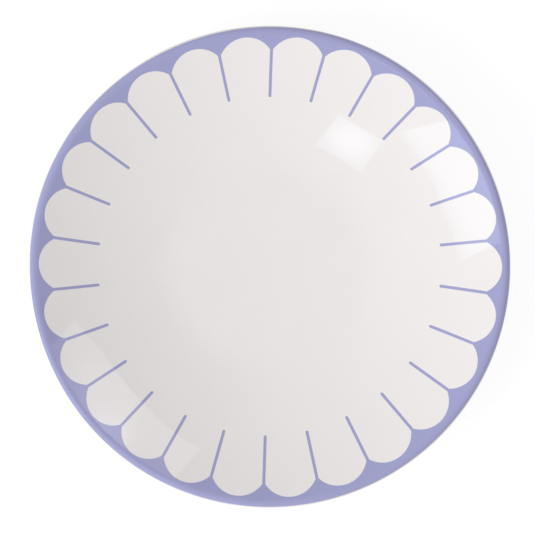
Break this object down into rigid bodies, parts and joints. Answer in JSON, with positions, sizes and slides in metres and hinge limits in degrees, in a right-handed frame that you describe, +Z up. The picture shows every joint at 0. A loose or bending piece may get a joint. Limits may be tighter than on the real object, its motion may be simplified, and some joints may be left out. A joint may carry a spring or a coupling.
{
  "type": "dessert plate",
  "caption": "Round white porcelain coupe dessert plate on a foot ring, with a lavender border that is scalloped into petals and fine strokes around the rim.",
  "frame": {"origin": "on the plate's axis, in the plane of the foot ring's bearing face", "axes": "+Z up along the plate's axis, with a stroke of the border along +Y"},
  "size_m": [0.21, 0.21, 0.0244],
  "materials": {
    "bare_porcelain": "matte, unglazed",
    "white_glaze": "glossy",
    "lavender_glaze": "glossy"
  },
  "bodies": {
    "root": {"porcelain_body": "bare_porcelain", "face_glaze": "white_glaze", "scallop_border": "lavender_glaze", "back_glaze": "white_glaze", "base_glaze": "white_glaze"}
  },
  "joints": []
}
